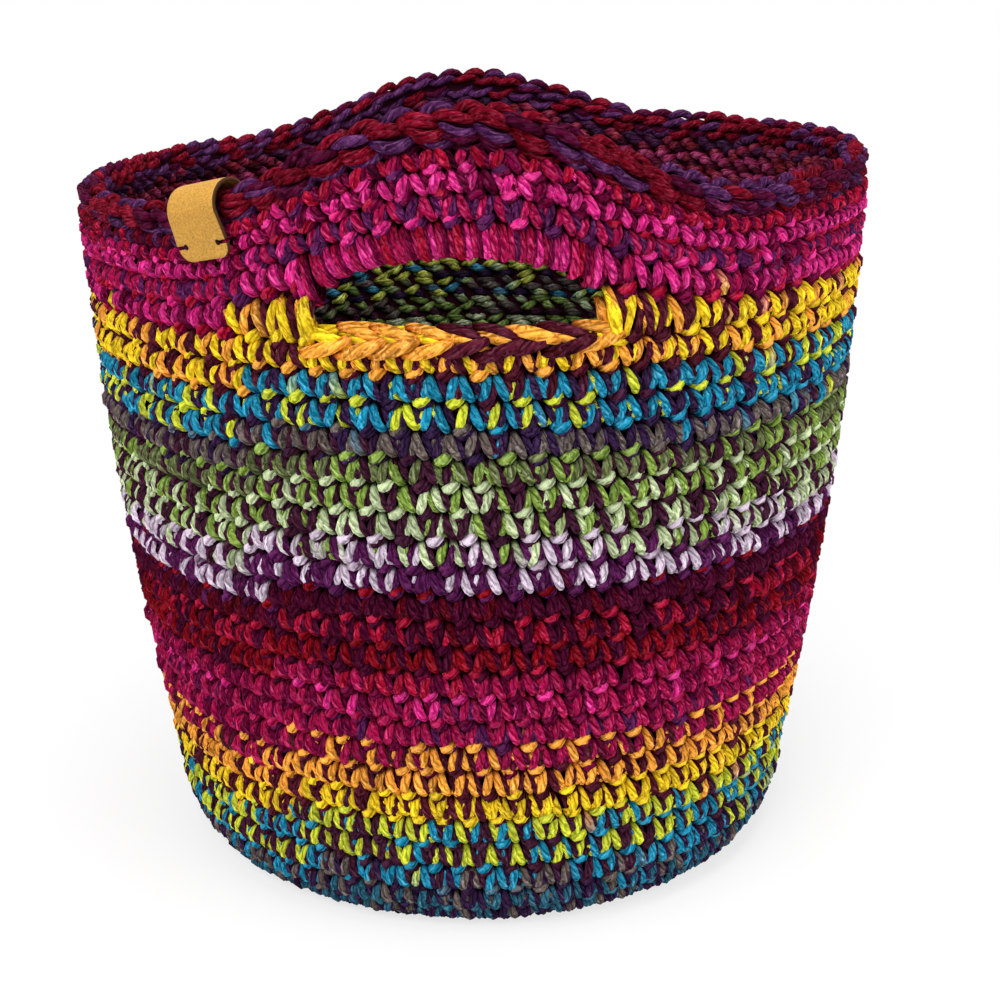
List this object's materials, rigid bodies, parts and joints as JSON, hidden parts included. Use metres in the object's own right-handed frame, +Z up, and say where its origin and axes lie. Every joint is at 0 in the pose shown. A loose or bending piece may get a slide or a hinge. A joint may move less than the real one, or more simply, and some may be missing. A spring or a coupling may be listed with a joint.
{
  "type": "crochet tote bag",
  "caption": "Round crochet tote with a flat base, swelling wall, two arched hand slots under raised rims, and a folded leather tag on the rim",
  "frame": {"origin": "on the ground under the middle of the base", "axes": "+Z up, the front with the tag faces -Y, +X to the right of someone looking at the front"},
  "size_m": [0.285, 0.285, 0.2808],
  "materials": {
    "yarn": "matte plied yarn in self-striping colours",
    "tag_leather": "tan, lightly pebbled, dark cut edges"
  },
  "bodies": {
    "root": {"crochet_body": "yarn", "leather_tag": "tag_leather"}
  },
  "joints": []
}
